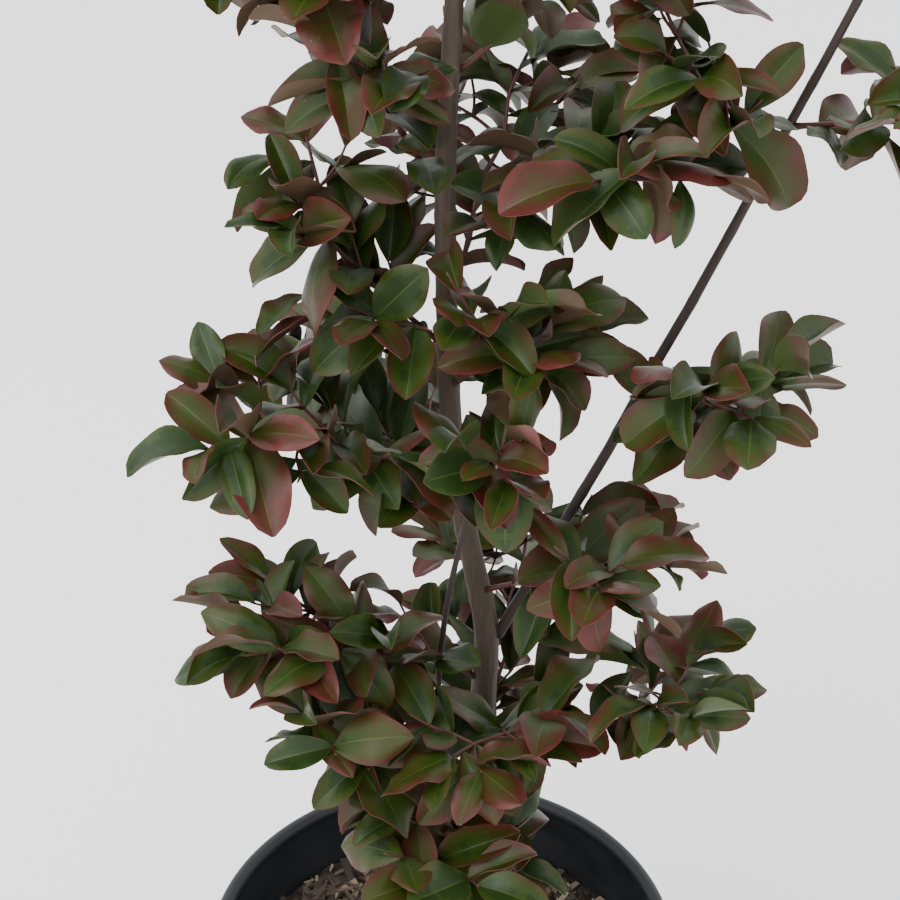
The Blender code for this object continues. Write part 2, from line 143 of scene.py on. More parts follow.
class Finish:
    """A Principled material and the nodes that feed it."""

    def __init__(self, name, colour, roughness):
        self.material = bpy.data.materials.new(name)
        self.material.use_nodes = True
        self.tree = self.material.node_tree
        self.shader = self.tree.nodes["Principled BSDF"]
        self.shader.inputs["Base Color"].default_value = (*colour, 1)
        self.shader.inputs["Roughness"].default_value = roughness

    def node(self, kind, settings=None, inputs=None, output=0):
        made = self.tree.nodes.new(kind)
        for key, value in (settings or {}).items():
            setattr(made, key, value)
        for key, value in (inputs or {}).items():
            if isinstance(value, Signal):
                self.tree.links.new(value.socket, made.inputs[key])
            else:
                made.inputs[key].default_value = value
        return Signal(self, made.outputs[output])

    def noise(self, scale, stretch=(1, 1, 1), detail=4):
        place = self.node("ShaderNodeTexCoord", output=3)
        sized = self.node("ShaderNodeVectorMath", {"operation": "MULTIPLY"}, {0: place, 1: stretch})
        return self.node("ShaderNodeTexNoise", {}, {"Vector": sized, "Scale": scale, "Detail": detail})

    def mix(self, factor, dark, light):
        settings = {"data_type": "RGBA"}
        inputs = {0: factor, 6: (*dark, 1), 7: (*light, 1)}
        return self.node("ShaderNodeMix", settings, inputs, output=2)

    def feed(self, socket, signal):
        self.tree.links.new(signal.socket, self.shader.inputs[socket])

    def bump(self, height, strength, distance):
        inputs = {"Height": height, "Strength": strength, "Distance": distance}
        self.feed("Normal", self.node("ShaderNodeBump", {}, inputs))


pale_floor = Finish("pale_floor", (0.94, 0.94, 0.94), 0.9)
floor.data.materials.append(pale_floor.material)
print("finishes ready")

# %% [markdown]
# ## The growing rule
# Every spray is a stem with side twigs and sub-opposite leaves, all dealt out by seeded draws. The rule is the
# one that made the frame's sprays, so twigs and leaves come back where the frame has them. It is carried on
# here: fine twigs grow where the solids have none, and leaves also stand halfway between the nodes, where there
# is room. All of it keeps within the spray's own box: the living shoots are fuller but reach no further.

# %% Sizes of the rule
SEED = 7
GAP = 0.0003
NODE_STEP = 0.030
SIDE_STEP = 0.025
SIDE_NODES = (2, 2)
STEM_RADII = (0.0016, 0.0010)
SIDE_RADII = (0.0011, 0.0008)
ZIGZAG = 7
SIDE_SPREAD = (42, 62)
SIDE_LIFT = (-16, 34)
SIDE_BEND = 10
LEAF_SPREAD = (48, 84)
TIP_SPREAD = (8, 34)
LEAF_LIFT = (-40, 52)
LEAF_LENGTH = (0.042, 0.060)
LEAF_ASPECT = (0.44, 0.62)
LEAF_ARCH = (14, 66)
LEAF_ROLL = 0.42
LEAF_FOLD = 14
LEAF_THICKNESS = 0.0012
LEAF_SINK = 0.0005
TIP_SINK = 0.0025
WIDEST = 0.54
BASE_SIZE = 0.66
TIP_SIZE = 0.78
HALFWAY_SIZE = 0.86
FINE_STEP = 0.013
FINE_NODES = (2, 3)
FINE_RADII = (0.0008, 0.0006)
FINE_BEND = 14
FINE_SIZE = 0.80
PAST_HOST = 0.3
OVER = 0.004
TRIES = 5
MARGIN = 0.0012
UP = Vector((0, 0, 1))

# Sprays: name, host, height above the rim (None at the host's tip), azimuth, rise, length, turn, side twigs
SPRAYS = [
    ("low_front_spray", "trunk", 0.095, 256, 50, 0.140, -40, 2),
    ("low_left_spray", "slender_stem", 0.105, 226, 62, 0.175, -12, 2),
    ("low_side_spray", "trunk", 0.205, 208, 42, 0.150, -34, 2),
    ("foot_spray", "trunk", 0.160, 284, 56, 0.105, -34, 2),
    ("low_right_spray", "low_right_bough", None, -20, 40, 0.090, -8, 2),
    ("slender_spray", "slender_stem", None, 300, 66, 0.090, -24, 2),
    ("right_spray", "trunk", 0.265, -42, 40, 0.125, -14, 2),
    ("far_left_spray", "trunk", 0.330, 216, 46, 0.165, -34, 2),
    ("left_spray", "trunk", 0.418, 186, 42, 0.105, 14, 2),
    ("upper_left_spray", "trunk", 0.505, 203, 58, 0.180, 8, 2),
    ("centre_spray", "trunk", 0.395, 302, 46, 0.095, -16, 2),
    ("inner_spray", "trunk", 0.478, -24, 36, 0.125, -14, 2),
    ("upper_right_spray", "trunk", 0.560, 12, 46, 0.125, -12, 2),
    ("second_low_spray", "second_stem", 0.385, -56, 32, 0.100, -14, 2),
    ("second_inner_spray", "second_stem", 0.525, 205, 48, 0.085, -8, 2),
    ("second_outer_spray", "second_stem", 0.540, -34, 16, 0.110, 8, 2),
    ("second_tip_spray", "second_stem", None, -6, 68, 0.140, -10, 2),
    ("rear_left_spray", "trunk", 0.330, 128, 14, 0.150, -20, 2),
    ("rear_spray", "trunk", 0.440, 72, 40, 0.150, -16, 3),
    ("low_rear_spray", "trunk", 0.120, 78, 44, 0.165, -26, 3),
    ("crown_left_spray", "trunk", 0.715, 188, 50, 0.165, -6, 2),
    ("crown_right_spray", "trunk", 0.775, -18, 50, 0.160, -6, 2),
    ("crown_rear_spray", "trunk", 0.655, 98, 46, 0.165, -8, 3),
    ("crown_tip_spray", "trunk", None, 250, 78, 0.150, 0, 3),
]

# Limbs: height above the rim, x, y and radius at each bend of the trunk and the slender stem
SOIL_DEPTH = 0.042
TRUNK_BENDS = [
    (-SOIL_DEPTH, 0.0180, 0.000, 0.0125),
    (-0.028, 0.0182, 0.000, 0.0088),
    (0.070, 0.0195, 0.000, 0.0075),
    (0.190, 0.0235, 0.000, 0.0070),
    (0.240, 0.0240, 0.000, 0.0066),
    (0.305, 0.0130, 0.000, 0.0057),
    (0.370, 0.0055, 0.000, 0.0055),
    (0.500, 0.0028, 0.002, 0.0051),
    (0.600, 0.0072, 0.004, 0.0043),
    (0.780, 0.0160, 0.006, 0.0033),
    (0.960, 0.0120, 0.000, 0.0020),
]
SLENDER_BENDS = [
    (-SOIL_DEPTH, 0.0020, -0.012, 0.0024),
    (0.100, -0.0020, -0.018, 0.0020),
    (0.200, -0.0020, -0.021, 0.0018),
    (0.270, 0.0030, -0.028, 0.0016),
    (0.345, 0.0140, -0.043, 0.0014),
]
BOUGHS = [
    ("second_stem", "trunk", 0.232, -4, 66, 0.640, 4, 0.0031, 0.0015),
    ("low_right_bough", "trunk", 0.130, -36, 54, 0.082, -14, 0.0022, 0.0017),
]
BOUGH_STEP = 0.045
print("sprays:", len(SPRAYS))


# %% [markdown]
# ## Paths of the limbs
# The trunk and the slender stem run through measured bends, and the boughs turn evenly with a slight zigzag.
# Their centre lines are drawn again here, because both the bark and the sprays need them.


# %% Paths of the limbs
def smooth_run(knots, steps):
    """Centres and radii on a smooth curve through knots that hold a place and a radius."""
    knots = [knots[0] * 2 - knots[1]] + knots + [knots[-1] * 2 - knots[-2]]
    run = []
    for a, b, c, d in zip(knots, knots[1:], knots[2:], knots[3:]):
        for k in range(steps):
            t = k / steps
            square = (a * 2 - b * 5 + c * 4 - d) * t**2
            cube = (b * 3 - a - c * 3 + d) * t**3
            run.append((b * 2 + (c - a) * t + square + cube) / 2)
    run.append(knots[-2])
    return [spot.to_3d() for spot in run], [spot.w for spot in run]


def curve_through(rows, steps):
    """Centres and radii on a smooth curve through rows of (height above the rim, x, y, radius)."""
    return smooth_run([Vector((x, y, RIM_HEIGHT + height, radius)) for height, x, y, radius in rows], steps)


def heading_of(azimuth, rise):
    """Unit vector with an azimuth and a rise."""
    level = math.cos(math.radians(rise))
    turn = math.radians(azimuth)
    return Vector((level * math.cos(turn), level * math.sin(turn), math.sin(math.radians(rise))))


def limb_path(start, azimuth, rise, length, bend, step, zigzag, rng):
    """Points a step apart along a limb whose rise turns evenly by the bend, with a zigzag at each."""
    count = max(2, round(length / step))
    path = [start]
    for k in range(count):
        swing = zigzag * (1 if k % 2 else -1) + rng.uniform(-zigzag, zigzag) * 0.6
        pitch = rise + bend * (k + 0.5) / count + rng.uniform(-zigzag, zigzag) * 0.5
        path.append(path[-1] + heading_of(azimuth + swing, pitch) * (length / count))
    return path


def taper(radii, count):
    return [radii[0] + (radii[1] - radii[0]) * k / (count - 1) for k in range(count)]


def node_shape(name):
    """Points and faces of a frame node."""
    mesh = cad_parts[name].data
    return [v.co.copy() for v in mesh.vertices], [list(face.vertices) for face in mesh.polygons]


def seat_on(host, height, azimuth):
    """Where a limb stands on its host: a gap off its surface, and the surface's normal there."""
    if height is None:
        normal = (host["path"][-1] - host["path"][-2]).normalized()
        return host["path"][-1] + normal * GAP, normal
    level = RIM_HEIGHT + height
    pairs = list(zip(host["path"], host["path"][1:]))
    low, high = next((a, b) for a, b in pairs if b.z >= level)
    middle = low.lerp(high, (level - low.z) / (high.z - low.z))
    axis = (high - low).normalized()
    out = heading_of(azimuth, 0)
    normal = (out - axis * out.dot(axis)).normalized()
    hit = host["tree"].ray_cast(middle + normal * 0.05, -normal)
    return hit[0] + normal * GAP, normal


limbs = {}
for limb_name, limb_rows in (("trunk", TRUNK_BENDS), ("slender_stem", SLENDER_BENDS)):
    limb_centres, limb_radii = curve_through(limb_rows, 2)
    limb_tree = BVHTree.FromPolygons(*node_shape(limb_name))
    limbs[limb_name] = {"path": limb_centres, "radii": limb_radii, "tree": limb_tree}
for limb_name, host, height, azimuth, rise, length, bend, first, last in BOUGHS:
    limb_start, _ = seat_on(limbs[host], height, azimuth)
    limb_rng = random.Random(f"{SEED} {limb_name}")
    limb_centres = limb_path(limb_start, azimuth, rise, length, bend, BOUGH_STEP, 2, limb_rng)
    limb_radii = taper((first, last), len(limb_centres))
    limb_tree = BVHTree.FromPolygons(*node_shape(limb_name))
    limbs[limb_name] = {"path": limb_centres, "radii": limb_radii, "tree": limb_tree}
print("limbs:", sorted(limbs))


# %% [markdown]
# ## Tubes
# A twig is a closed tube round its path. Its rings are turned along with the path rather than set against a
# fixed direction, so that a bend doesn't wring the tube.


# %% Tubes
def frames(path):
    """Unit headings at a path's points, and side vectors that turn with it without twisting."""
    headings = []
    for i in range(len(path)):
        headings.append((path[min(i + 1, len(path) - 1)] - path[max(i - 1, 0)]).normalized())
    start = UP if abs(headings[0].z) < 0.9 else Vector((1, 0, 0))
    side = headings[0].cross(start).normalized()
    sides = [side]
    for heading in headings[1:]:
        side = (side - heading * side.dot(heading)).normalized()
        sides.append(side)
    return headings, sides


def ring_faces(rings, count):
    """Quads between rings of points, and a cap on the first and the last."""
    faces = []
    for ring in range(rings - 1):
        for k in range(count):
            a = ring * count + k
            b = ring * count + (k + 1) % count
            faces.append((a, b, b + count, a + count))
    faces.append(tuple(reversed(range(count))))
    faces.append(tuple(range((rings - 1) * count, rings * count)))
    return faces


def tube(path, radii, count):
    """Points and faces of a closed tube."""
    headings, sides = frames(path)
    points = []
    for centre, radius, heading, side in zip(path, radii, headings, sides):
        other = heading.cross(side)
        for k in range(count):
            turn = math.tau * k / count
            points.append(centre + (side * math.cos(turn) + other * math.sin(turn)) * radius)
    return points, ring_faces(len(path), count)


trial_points, trial_faces = tube(limbs["trunk"]["path"], limbs["trunk"]["radii"], 3)
print("a trunk of three sides has", len(trial_points), "points and", len(trial_faces), "faces")

# %% [markdown]
# ## Leaves of the rule
# A leaf is six numbers: where it is rooted, which way it runs and faces, its length, width and arch. The plain
# solid of eight faces made from them is the frame's own leaf, and is all that the clearance tests need.


# %% Leaves of the rule
def leaf_frame(root, heading, sideways, side, tip, size, rng):
    """One leaf of a node: its root, direction, upper normal, length, width and arch."""
    spread = math.radians(rng.uniform(*(TIP_SPREAD if tip else LEAF_SPREAD)))
    lift = math.radians(rng.uniform(*LEAF_LIFT) * (0.5 if tip else 1))
    flat = heading * math.cos(spread) + sideways * side * math.sin(spread)
    along = (flat * math.cos(lift) + UP * math.sin(lift)).normalized()
    stray = Vector([rng.uniform(-1, 1) for _ in range(3)]) * LEAF_ROLL
    face = UP + heading * 0.55 + stray
    normal = (face - along * face.dot(along)).normalized()
    leaf_length = rng.uniform(*LEAF_LENGTH) * size
    width = leaf_length * rng.uniform(*LEAF_ASPECT)
    arch = math.radians(rng.uniform(*LEAF_ARCH))
    start = root - heading * (TIP_SINK if tip else 0) - along * LEAF_SINK
    return start, along, normal, leaf_length, width, arch


def leaf_spot(leaf, t, across, lift):
    """A point of a leaf: t of the way along its arched midrib, across it, and off its face."""
    root, along, normal, leaf_length, width, arch = leaf
    run = math.sin(arch * t) / arch * leaf_length
    drop = (1 - math.cos(arch * t)) / arch * leaf_length
    face = normal * math.cos(arch * t) + along * math.sin(arch * t)
    fold = math.radians(LEAF_FOLD)
    reach = across * width / 2
    middle = root + along * run - normal * drop
    rise = abs(reach) * math.sin(fold) + lift
    return middle + along.cross(normal) * reach * math.cos(fold) + face * rise


def leaf_solid(leaf, grow=0.0):
    """A plain eight-faced leaf to test clearance with."""
    root, along, normal, leaf_length, width, arch = leaf
    leaf = (root - along * grow, along, normal, leaf_length + 2 * grow, width + 2 * grow, arch)
    thick = LEAF_THICKNESS / 2 + grow
    outline = [(0, 0), (WIDEST, 1), (1, 0), (WIDEST, -1)]
    points = [leaf_spot(leaf, t, across, 0) for t, across in outline]
    points += [leaf_spot(leaf, WIDEST, 0, thick), leaf_spot(leaf, WIDEST, 0, -thick)]
    faces = [(i, (i + 1) % 4, 4) for i in range(4)] + [((i + 1) % 4, i, 5) for i in range(4)]
    return points, faces


trial_leaf = leaf_frame(Vector(), Vector((1, 0, 0)), Vector((0, 1, 0)), 1, False, 1, random.Random(SEED))
print("a leaf, length and width:", round(trial_leaf[3], 4), round(trial_leaf[4], 4))

# %% [markdown]
# ## Keeping leaves apart
# Leaves that cut through each other look wrong at once, so each new leaf is tested as a small fat solid
# against all that already stands. One that would touch is turned, and after a few tries it is skipped.


# %% Space
class Space:
    """What already stands in the plant."""

    def __init__(self):
        self.kept = []

    def add(self, owner, points, faces):
        centre = sum(points, Vector()) / len(points)
        reach = max((p - centre).length for p in points)
        self.kept.append((owner, centre, reach, BVHTree.FromPolygons(points, faces)))

    def meets(self, points, faces, skip=()):
        centre = sum(points, Vector()) / len(points)
        reach = max((p - centre).length for p in points)
        shape = BVHTree.FromPolygons(points, faces)
        for owner, other, size, tree in self.kept:
            if owner not in skip and (other - centre).length < reach + size and shape.overlap(tree):
                return True
        return False


space = Space()
for node_name in ("pot", "soil", "trunk", "slender_stem", "second_stem", "low_right_bough"):
    space.add(node_name, *node_shape(node_name))
print("solids to keep clear of:", len(space.kept))

# %% [markdown]
# ## Growing the twigs
# First every stem grows, then the side twigs, and only then the leaves, so that no leaf takes the place of a
# twig. A side twig is kept only where it ends nearer to its own stem than to any other.

# %% Grow stems and side twigs
stems = {}
for name, host, height, azimuth, rise, length, bend, _ in SPRAYS:
    stem_rng = random.Random(f"{SEED} {name} stem")
    start, _ = seat_on(limbs[host], height, azimuth)
    stem = limb_path(start, azimuth, rise, length, bend, NODE_STEP, ZIGZAG, stem_rng)
    stems[name] = (stem, taper(STEM_RADII, len(stem)))
    space.add(name, *tube(*stems[name], 3))


def branch(path, node, side, step, counts, bend, rng):
    """A twig's path from a node of a shoot, to its left or right."""
    headings, sides = frames(path)
    spread = math.radians(rng.uniform(*SIDE_SPREAD))
    lift = math.radians(rng.uniform(*SIDE_LIFT))
    flat = headings[node] * math.cos(spread) + sides[node] * side * math.sin(spread)
    out = (flat * math.cos(lift) + UP * math.sin(lift)).normalized()
    azimuth = math.degrees(math.atan2(out.y, out.x))
    length = step * rng.randint(*counts)
    rise = math.degrees(math.asin(out.z))
    return limb_path(path[node], azimuth, rise, length, bend, step, ZIGZAG, rng)


def nearest_stem(point):
    """The spray whose stem passes nearest to a point."""
    return min(stems, key=lambda name: min((point - spot).length for spot in stems[name][0]))


def grow_side_twigs(name, wanted):
    """Side twigs from a stem's outer nodes, to its left and right in turn."""
    path = stems[name][0]
    twigs = []
    for k in range(wanted):
        rng = random.Random(f"{SEED} {name} side {k}")
        node = 1 + round((len(path) - 3) * (k + 0.5) / wanted)
        side = 1 if k % 2 else -1
        for _ in range(TRIES):
            side_path = branch(path, node, side, SIDE_STEP, SIDE_NODES, SIDE_BEND, rng)
            radii = taper(SIDE_RADII, len(side_path))
            shape = tube(side_path, [r + MARGIN for r in radii], 3)
            if nearest_stem(side_path[-1]) == name and not space.meets(*shape, skip=(name,)):
                space.add(name, *tube(side_path, radii, 3))
                twigs.append((node, side, (side_path, radii)))
                break
    return twigs


side_twigs = {spray[0]: grow_side_twigs(spray[0], spray[7]) for spray in SPRAYS}
print("stems:", len(stems), "side twigs:", sum(len(twigs) for twigs in side_twigs.values()))

# %% [markdown]
# ## Growing the leaves
# Each node bears a pair of leaves, one of which gives way to a side twig. The first pair of a shoot is small,
# and so is the last. These are the frame's own leaves, so their number should be the same as in the solids.


# %% Grow the frame's leaves
def clear_of_all(name, leaf, leaves):
    """True where a leaf meets neither other sprays and limbs nor, past its root, its own spray."""
    if space.meets(*leaf_solid(leaf, MARGIN), skip=(name,)):
        return False
    root, along, normal, leaf_length, width, arch = leaf
    outer = (leaf_spot(leaf, 0.2, 0, 0), along, normal, leaf_length * 0.8, width, arch)
    own = Space()
    for other in leaves:
        own.add("leaf", *leaf_solid(other))
    return not own.meets(*leaf_solid(outer))


def leaf_places(path, shoot, taken):
    """Places for leaves at a shoot's nodes: label, root, heading, sideways, side, tip, size."""
    headings, sides = frames(path)
    last = len(path) - 1
    for node in range(1, last + 1):
        size = BASE_SIZE if node == 1 else TIP_SIZE if node == last else 1
        for side in (-1, 1):
            if shoot or (node, side) not in taken:
                label = f"leaf {shoot} {node} {side}"
                yield label, path[node], headings[node], sides[node], side, node == last, size


def grow_leaves(name, places, before, allowed):
    """Adds a leaf at each place where one finds room and is allowed."""
    leaves = list(before)
    for label, root, heading, sideways, side, tip, size in places:
        rng = random.Random(f"{SEED} {name} {label}")
        for _ in range(TRIES):
            leaf = leaf_frame(root, heading, sideways, side, tip, size, rng)
            if allowed(name, leaf) and clear_of_all(name, leaf, leaves):
                leaves.append(leaf)
                break
    for leaf in leaves[len(before):]:
        space.add(name, *leaf_solid(leaf))
    return leaves


def shoots_of(name):
    """The stem and side twigs of a spray, numbered, and the places that side twigs take on the stem."""
    shoots = [stems[name][0]] + [twig[0] for _, _, twig in side_twigs[name]]
    return list(enumerate(shoots)), {(node, side) for node, side, _ in side_twigs[name]}


sprays = {}
for name in stems:
    numbered, taken = shoots_of(name)
    places = [place for shoot, path in numbered for place in leaf_places(path, shoot, taken)]
    sprays[name] = grow_leaves(name, places, [], lambda _, leaf: True)
print("leaves of the solids:", sum(len(leaves) for leaves in sprays.values()))

# %% [markdown]
# ## Finer twigs and fuller shoots
# Fine twigs with small leaves fill the sprays out, and leaves halfway between the nodes do so too. Each of them
# keeps inside its spray's box and clear of all that stands, so the outline of the plant stays the frame's.


# %% Grow fine twigs and fuller shoots
def inside(name, points):
    """True where all points lie in a frame node's box, or just past it."""
    low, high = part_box(name)
    return all(low[i] - OVER <= p[i] <= high[i] + OVER for p in points for i in range(3))


def leaf_inside(name, leaf):
    """True where a leaf's tip and margins lie in its spray's box."""
    return inside(name, [leaf_spot(leaf, t, across, 0) for t, across in ((1, 0), (WIDEST, 1), (WIDEST, -1))])


def grow_fine_twig(name, path, node, side, rng):
    """A fine twig from a node, or None where none finds room."""
    for _ in range(TRIES):
        fine_path = branch(path, node, side, FINE_STEP, FINE_NODES, FINE_BEND, rng)
        radii = taper(FINE_RADII, len(fine_path))
        past_host = [fine_path[0].lerp(fine_path[1], PAST_HOST)] + fine_path[1:]
        shape = tube(past_host, [r + MARGIN for r in radii], 3)
        if inside(name, fine_path) and not space.meets(*shape):
            space.add(name, *tube(fine_path, radii, 3))
            return fine_path, radii
    return None


def grow_fine_twigs(name):
    """Fine twigs on a spray's stem and side twigs, wherever one finds room."""
    fine = []
    numbered, taken = shoots_of(name)
    for shoot, path in numbered:
        for node in range(1, len(path) - 1):
            for side in (-1, 1):
                if shoot or (node, side) not in taken:
                    rng = random.Random(f"{SEED} {name} fine {shoot} {node} {side}")
                    fine.append(grow_fine_twig(name, path, node, side, rng))
    return [twig for twig in fine if twig]


def fine_places(path, shoot):
    """Places for leaves at a fine twig's nodes."""
    headings, sides = frames(path)
    last = len(path) - 1
    for node in range(1, last + 1):
        for side in (-1, 1):
            label = f"fine leaf {shoot} {node} {side}"
            yield label, path[node], headings[node], sides[node], side, node == last, FINE_SIZE


def halfway_places(path, shoot):
    """Places for leaves halfway between a shoot's nodes."""
    headings, sides = frames(path)
    for node in range(1, len(path)):
        spot = (path[node - 1] + path[node]) / 2
        for side in (-1, 1):
            label = f"half {shoot} {node} {side}"
            yield label, spot, headings[node], sides[node], side, False, HALFWAY_SIZE


fine_twigs = {name: grow_fine_twigs(name) for name in stems}
for name in stems:
    places = [place for k, (path, _) in enumerate(fine_twigs[name]) for place in fine_places(path, k)]
    places += [place for shoot, path in shoots_of(name)[0] for place in halfway_places(path, shoot)]
    sprays[name] = grow_leaves(name, places, sprays[name], leaf_inside)
print("fine twigs:", sum(len(fine) for fine in fine_twigs.values()))
print("leaves:", sum(len(leaves) for leaves in sprays.values()))

# %% [markdown]
# ## Leaf tints
# In late season a leaf is deep green along its middle, and turns through olive and bronze to red at its edge
# and tip. The tints are plain colours, and each small face of a leaf takes one by its place and by how far the
# leaf has turned. Below, the leaf is paler, from grey green to a dusky pink.

# %% Leaf tints
UPPER_TINTS = [
    ("leaf_deep_green", (0.010, 0.026, 0.002)),
    ("leaf_green", (0.018, 0.036, 0.002)),
    ("leaf_olive", (0.028, 0.032, 0.003)),
    ("leaf_bronze", (0.038, 0.022, 0.004)),
    ("leaf_red_bronze", (0.050, 0.014, 0.006)),
    ("leaf_red", (0.072, 0.013, 0.010)),
]
UNDER_TINTS = [
    ("under_green", (0.042, 0.062, 0.016)),
    ("under_dusk", (0.068, 0.042, 0.024)),
    ("under_pink", (0.110, 0.040, 0.036)),
]
MIDRIB_TINT = ("leaf_midrib", (0.045, 0.062, 0.010))


def leaf_finish(name, colour):
    """A satin leaf skin with a fine grain."""
    finish = Finish(name, colour, 0.45)
    grain = finish.noise(260)
    finish.feed("Roughness", grain * 0.20 + 0.36)
    finish.bump(grain, 0.25, 0.0006)
    finish.shader.inputs["Specular IOR Level"].default_value = 0.28
    return finish.material


leaf_materials = [leaf_finish(*tint) for tint in UPPER_TINTS + UNDER_TINTS + [MIDRIB_TINT]]
FIRST_UNDER = len(UPPER_TINTS)
MIDRIB = len(leaf_materials) - 1
print("leaf tints:", len(leaf_materials))

# %% [markdown]
# ## Shape of a blade
# A blade is a thin closed sheet on a grid. Rows run along the midrib and columns across it, closer together at
# the margin and at the midrib. It arches, folds along the midrib, waves at its edge and twists a little. A flat
# card would be lighter, but it could not curl, and its edge would look cut.

# %% Shape of a blade
ROWS = 15
COLUMNS = np.array([-1, -0.88, -0.66, -0.38, -0.026, 0.026, 0.38, 0.66, 0.88, 1])
BLADE_THICKNESS = 0.00035
FOLD_STRAY = (-10, 30)
TWIST = 34
CURL = (-0.75, 0.45)
WAVE_SIZE = (0.03, 0.13)
WAVE_COUNT = (8, 16)
PHASE = 6
BLUNTNESS = (0.50, 0.78)
BASE_PINCH = 0.45
BASE_REACH = 0.07
LEAST_WIDTH = 0.02
TINY = 1e-12


def blade_points(leaf, rng):
    """Points of a blade's upper skin, and then of its lower one."""
    root, along, normal, leaf_length, width, arch = (np.array(v) for v in leaf)
    t = np.linspace(0.0, 1.0, ROWS)[:, None]
    across = COLUMNS[None, :]
    fold = math.radians(LEAF_FOLD + rng.uniform(*FOLD_STRAY))
    twist = math.radians(rng.gauss(0, TWIST)) * t
    curl = rng.uniform(*CURL)
    wave = rng.uniform(*WAVE_SIZE) * np.sin(t * rng.uniform(*WAVE_COUNT) + rng.uniform(0, PHASE))
    peak = math.log(0.5) / math.log(WIDEST)
    shape = np.sin(np.pi * np.clip(t, 0.001, 0.999) ** peak) ** rng.uniform(*BLUNTNESS)
    shape = shape * (1 - BASE_PINCH * np.exp(-t / BASE_REACH)) + LEAST_WIDTH
    reach = across * width / 2 * shape
    margin_lift = width * shape * across**2 * (curl * 0.4 + wave * np.sign(across) * 0.7)
    lift = np.abs(reach) * math.sin(fold) + margin_lift
    out = reach * math.cos(fold)
    cos_twist, sin_twist = np.cos(twist), np.sin(twist)
    out, lift = out * cos_twist - lift * sin_twist, out * sin_twist + lift * cos_twist
    run = np.sin(arch * t) / arch * leaf_length
    drop = (1 - np.cos(arch * t)) / arch * leaf_length
    face = np.cos(arch * t)[..., None] * normal + np.sin(arch * t)[..., None] * along
    middle = root + run[..., None] * along - drop[..., None] * normal
    upper = middle + out[..., None] * np.cross(along, normal) + lift[..., None] * face
    skin = np.cross(np.gradient(upper, axis=1), np.gradient(upper, axis=0))
    skin /= np.linalg.norm(skin, axis=2, keepdims=True) + TINY
    lower = upper - skin * BLADE_THICKNESS
    return np.concatenate([upper.reshape(-1, 3), lower.reshape(-1, 3)])


wide = len(COLUMNS)
below = ROWS * wide
upper_faces = [
    (a, a + wide, a + wide + 1, a + 1) for a in (i * wide + j for i in range(ROWS - 1) for j in range(wide - 1))
]
lower_faces = [tuple(below + p for p in reversed(face)) for face in upper_faces]
margin = list(range(wide)) + [i * wide + wide - 1 for i in range(1, ROWS)]
margin += [(ROWS - 1) * wide + j for j in range(wide - 2, -1, -1)] + [i * wide for i in range(ROWS - 2, 0, -1)]
margin_faces = [(a, b, below + b, below + a) for a, b in zip(margin, margin[1:] + margin[:1])]
BLADE_FACES = upper_faces + lower_faces + margin_faces
print("faces of a blade:", len(BLADE_FACES))

# %% [markdown]
# ## Tints over a blade
# Each leaf has turned by its own amount. On top of that its margin and its outer half are further on, and a
# slow wave with a little speckle breaks the border between two tints.

# %% Tints over a blade
TURNED_RED = (0.43, 0.26)
MARGIN_RED = 0.44
OUTER_RED = 0.45
OUTER_FROM = 0.40
STILL_GREEN = 0.20
SPECKLE = 0.03
RED_RIM = 0.35
RIB_REACH = 0.9
OLIVE = 2


def blade_tints(rng):
    """Tints of a blade's faces: the upper skin, the lower one and the margin."""
    turned_red = min(1.0, max(0.0, rng.gauss(*TURNED_RED)))
    patch = rng.uniform(0, PHASE)
    upper = []
    lower = []
    for i in range(ROWS - 1):
        far = (i + 0.5) / (ROWS - 1)
        for edge in np.abs(COLUMNS[:-1] + COLUMNS[1:]) / 2:
            warm = turned_red * 0.80 + MARGIN_RED * edge**2 + OUTER_RED * max(0.0, far - OUTER_FROM)
            warm += 0.08 * math.sin(far * 9 + patch) + rng.uniform(-SPECKLE, SPECKLE) - STILL_GREEN
            tint = int(min(FIRST_UNDER - 1, max(0, warm * FIRST_UNDER)))
            upper.append(MIDRIB if edge < 0.05 and far < RIB_REACH else tint)
            lower.append(FIRST_UNDER + min(2, int(3 * (0.55 * turned_red + 0.35 * far))))
    rim = FIRST_UNDER - 1 if turned_red > RED_RIM else OLIVE
    return upper + lower + [rim] * len(margin_faces)


trial_tints = blade_tints(random.Random(SEED))
print("tints on one blade:", sorted({leaf_materials[tint].name for tint in trial_tints}))

# %% [markdown]
# ## All blades
# Blades are joined a few hundred at a time, so that no piece grows too heavy to handle.

# %% All blades
BLADES_PER_PIECE = 300
SHARP_LEAF = 55


def add_blades(name, leaves):
    """Joins blades into one piece."""
    points = []
    faces = []
    tints = []
    for k, (leaf, rng) in enumerate(leaves):
        points.append(blade_points(leaf, rng))
        faces += [tuple(p + 2 * below * k for p in face) for face in BLADE_FACES]
        tints += blade_tints(rng)
    piece = add_mesh(name, np.concatenate(points), faces)
    for material in leaf_materials:
        piece.data.materials.append(material)
    piece.data.polygons.foreach_set("material_index", tints)
    piece.data.set_sharp_from_angle(angle=math.radians(SHARP_LEAF))
    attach(piece, "root")
    return piece


dealt = []
for name, leaves in sprays.items():
    dealt += [(leaf, random.Random(f"{SEED} {name} blade {k}")) for k, leaf in enumerate(leaves)]
for first in range(0, len(dealt), BLADES_PER_PIECE):
    piece = add_blades(f"leaves_{first // BLADES_PER_PIECE}", dealt[first:first + BLADES_PER_PIECE])
    print(piece.name, "faces", len(piece.data.polygons))

# %% [markdown]
# ## Twigs
# The twigs are red brown and round, with a slight knot at each node. They are joined in one piece, which stands
# for the frame's sprays. Smooth curves through the same nodes keep them under their leaves.


# %% Twigs
NODE_SWELL = 1.22
TWIG_END = 0.6
TWIG_SIDES = 8


